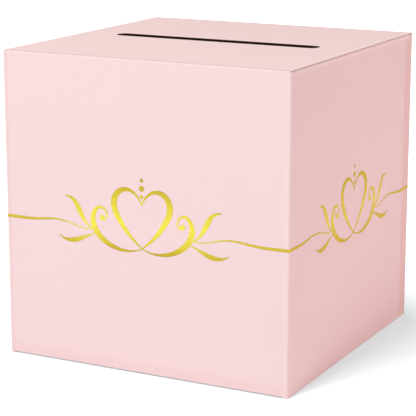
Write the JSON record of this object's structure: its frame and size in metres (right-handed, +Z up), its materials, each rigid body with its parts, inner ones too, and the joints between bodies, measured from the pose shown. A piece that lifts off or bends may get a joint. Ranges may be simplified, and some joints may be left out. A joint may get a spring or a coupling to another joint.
{
  "type": "wedding card box",
  "caption": "Cube-shaped folding paperboard box with a long card slot in its hinged tuck-in lid, dust flaps, taped double bottom and gold foil ornament on the sides.",
  "frame": {"origin": "on the floor, under the middle of the box", "axes": "+Z up out of the lid, -Y out of the front panel behind which the lid tucks in, +X to the right side panel"},
  "size_m": [0.2542, 0.2542, 0.254],
  "materials": {
    "pink_board": "matte",
    "gold_foil": "polished",
    "adhesive_tape": "satin"
  },
  "bodies": {
    "carton": {"back_panel": "pink_board", "back_right_fold": "pink_board", "bottom_crease_back": "pink_board", "bottom_crease_front": "pink_board", "bottom_crease_left": "pink_board", "bottom_crease_right": "pink_board", "bottom_flap_back": "pink_board", "bottom_flap_front": "pink_board", "bottom_flap_left": "pink_board", "bottom_flap_right": "pink_board", "bottom_tape_left": "adhesive_tape", "bottom_tape_right": "adhesive_tape", "dust_crease_left": "pink_board", "dust_crease_right": "pink_board", "foil_back": "gold_foil", "foil_front": "gold_foil", "foil_left": "gold_foil", "foil_right": "gold_foil", "front_left_fold": "pink_board", "front_panel": "pink_board", "front_right_fold": "pink_board", "left_panel": "pink_board", "lid_crease": "pink_board", "right_panel": "pink_board", "seam_flap": "pink_board", "seam_fold": "pink_board", "seam_tape": "adhesive_tape"},
    "lid": {"lid_panel": "pink_board", "tuck_crease": "pink_board"},
    "lid_tuck": {"tuck_flap": "pink_board"},
    "dust_left": {"dust_flap_left": "pink_board"},
    "dust_right": {"dust_flap_right": "pink_board"}
  },
  "joints": [
    {"name": "lid_hinge", "type": "hinge", "parent": "carton", "child": "lid", "pos_m": [0, 0.1266, 0.2536], "axis": [-1, 0, 0], "range_deg": [0, 120], "deforming": ["lid_crease"]},
    {"name": "tuck_fold", "type": "hinge", "parent": "lid", "child": "lid_tuck", "pos_m": [0, -0.1255, 0.2536], "axis": [-1, 0, 0], "range_deg": [0, 72], "deforming": ["tuck_crease"]},
    {"name": "dust_fold_left", "type": "hinge", "parent": "carton", "child": "dust_left", "pos_m": [-0.1266, 0, 0.2525], "axis": [0, -1, 0], "range_deg": [0, 90], "deforming": ["dust_crease_left"]},
    {"name": "dust_fold_right", "type": "hinge", "parent": "carton", "child": "dust_right", "pos_m": [0.1266, 0, 0.2525], "axis": [0, 1, 0], "range_deg": [0, 90], "deforming": ["dust_crease_right"]}
  ],
  "couplings": [
    {"joint": "tuck_fold", "follows": "lid_hinge", "ratio": 0.6},
    {"joint": "dust_fold_left", "follows": "lid_hinge", "ratio": 0.75},
    {"joint": "dust_fold_right", "follows": "lid_hinge", "ratio": 0.75}
  ]
}
